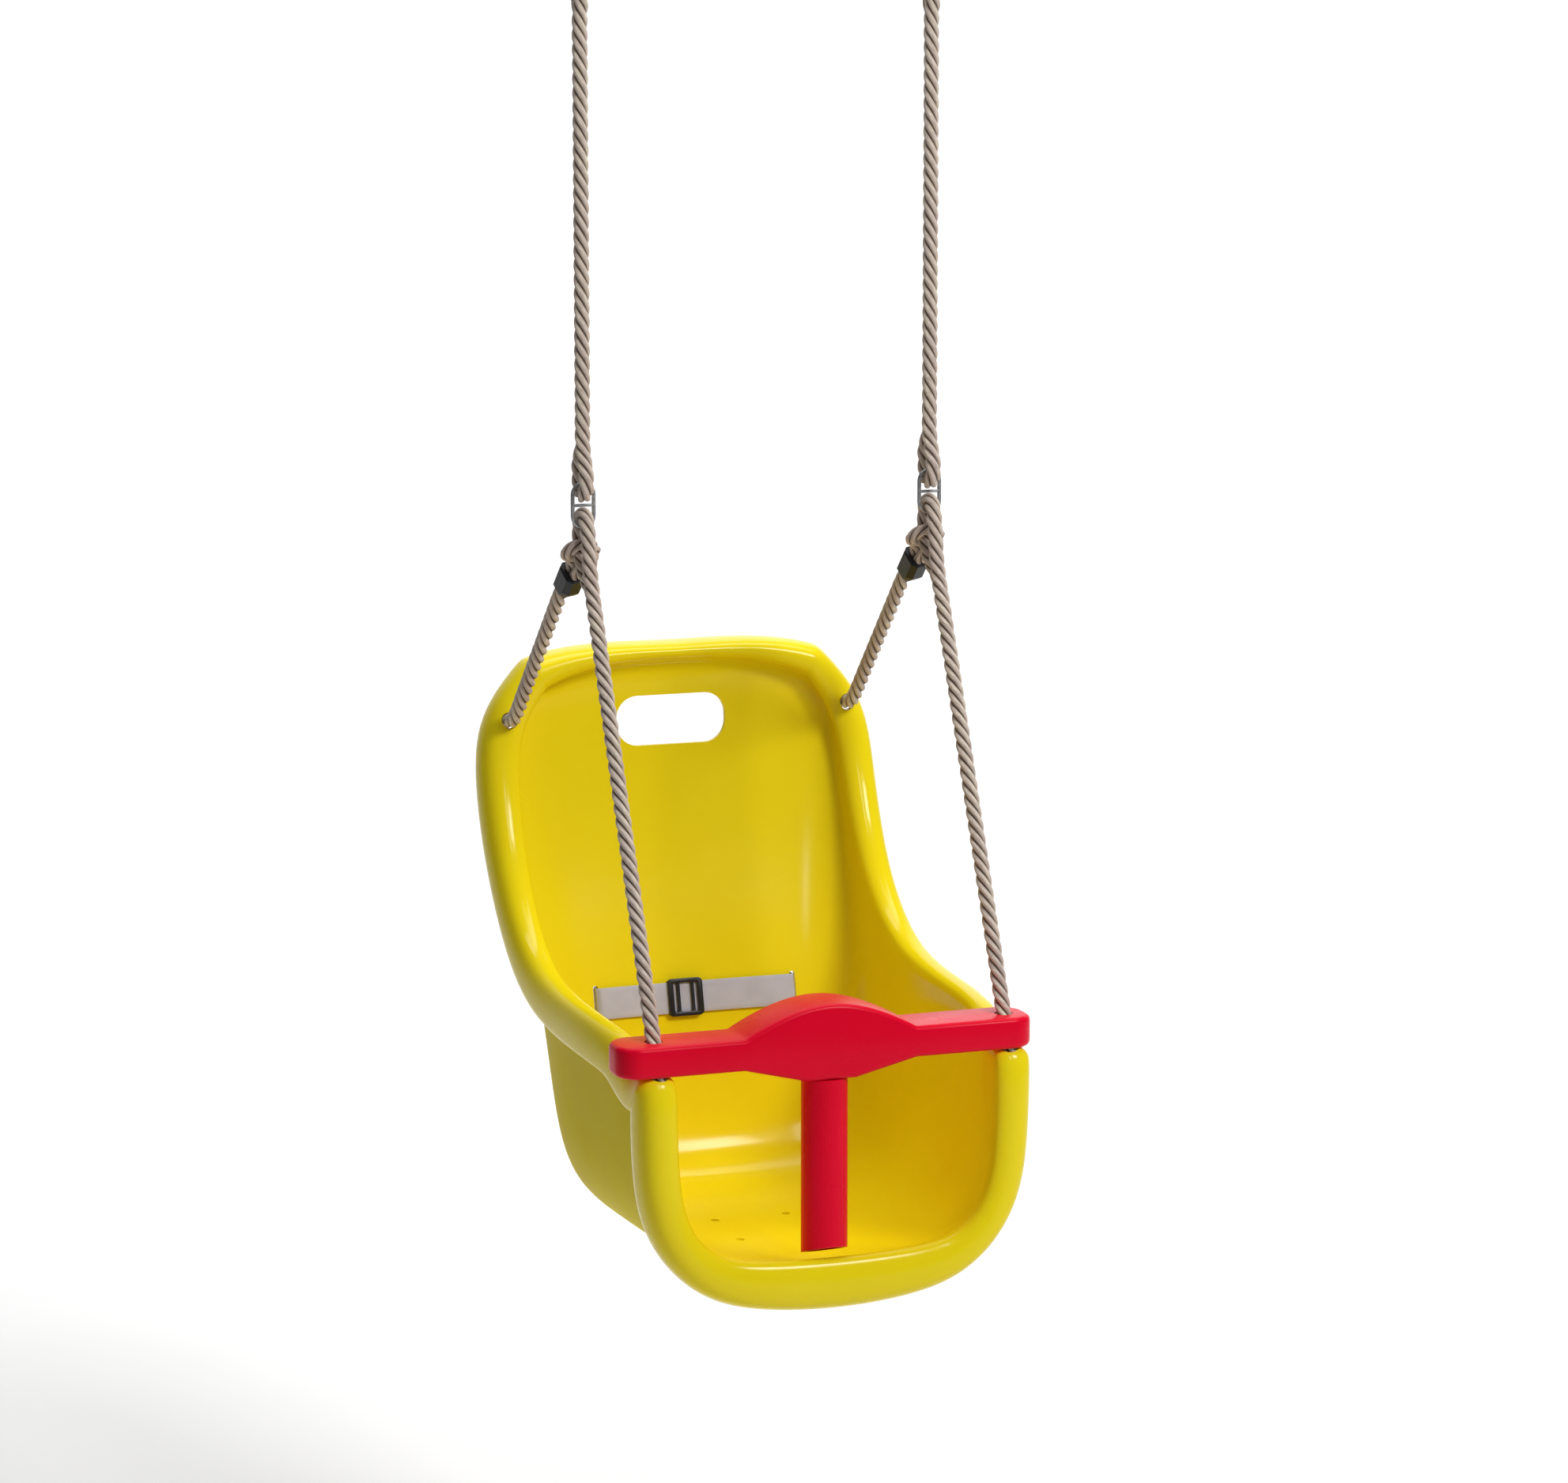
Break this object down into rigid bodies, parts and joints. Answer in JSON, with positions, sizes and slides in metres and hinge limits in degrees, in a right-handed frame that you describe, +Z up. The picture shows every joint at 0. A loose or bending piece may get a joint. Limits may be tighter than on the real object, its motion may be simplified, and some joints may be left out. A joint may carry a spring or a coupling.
{
  "type": "toddler bucket swing",
  "caption": "High-backed moulded bucket seat with a sliding T-bar and lap strap, hung on twisted ropes from rings.",
  "frame": {"origin": "the hanging mount: half way between the insides of the two top rings, where the swing hangs from its beam hooks", "axes": "+Z up, -Y the way the sitter faces (front), +X the sitter's left"},
  "size_m": [0.343, 0.413, 1.0743],
  "materials": {
    "yellow_plastic": "gloss moulded polyethylene",
    "red_plastic": "satin-gloss moulded plastic",
    "rope_fibre": "twisted fibre rope",
    "black_plastic": "satin",
    "strap_webbing": "flat woven webbing",
    "galvanised_steel": "zinc coated"
  },
  "bodies": {
    "hangers": {"top_ring_left": "galvanised_steel", "top_ring_right": "galvanised_steel"},
    "upper_ropes": {"upper_rope_left": "rope_fibre", "upper_rope_right": "rope_fibre", "thimble_left": "galvanised_steel", "thimble_right": "galvanised_steel", "link_left": "galvanised_steel", "link_right": "galvanised_steel"},
    "seat": {"seat_shell": "yellow_plastic", "front_rope_left": "rope_fibre", "front_rope_right": "rope_fibre", "rear_rope_left": "rope_fibre", "rear_rope_right": "rope_fibre", "rear_ferrule_left": "black_plastic", "rear_ferrule_right": "black_plastic", "front_knot_left": "rope_fibre", "front_knot_right": "rope_fibre", "rear_knot_left": "rope_fibre", "rear_knot_right": "rope_fibre", "lap_strap": "strap_webbing"},
    "t_bar": {"crossbar": "red_plastic", "crotch_post": "red_plastic", "post_screw": "galvanised_steel"},
    "buckle": {"strap_buckle": "black_plastic"}
  },
  "joints": [
    {"name": "swing", "type": "hinge", "parent": "hangers", "child": "upper_ropes", "pos_m": [0, 0, -0.038], "axis": [1, 0, 0], "range_deg": [-40, 40]},
    {"name": "seat_tilt", "type": "hinge", "parent": "upper_ropes", "child": "seat", "pos_m": [0, 0, -0.4816], "axis": [1, 0, 0], "range_deg": [-20, 20]},
    {"name": "t_bar_slide", "type": "slide", "parent": "seat", "child": "t_bar", "axis": [0, 0.4013, 0.916], "range_m": [0, 0.25]},
    {"name": "buckle_slide", "type": "slide", "parent": "seat", "child": "buckle", "axis": [1, 0, 0], "range_m": [-0.01, 0.02]}
  ]
}
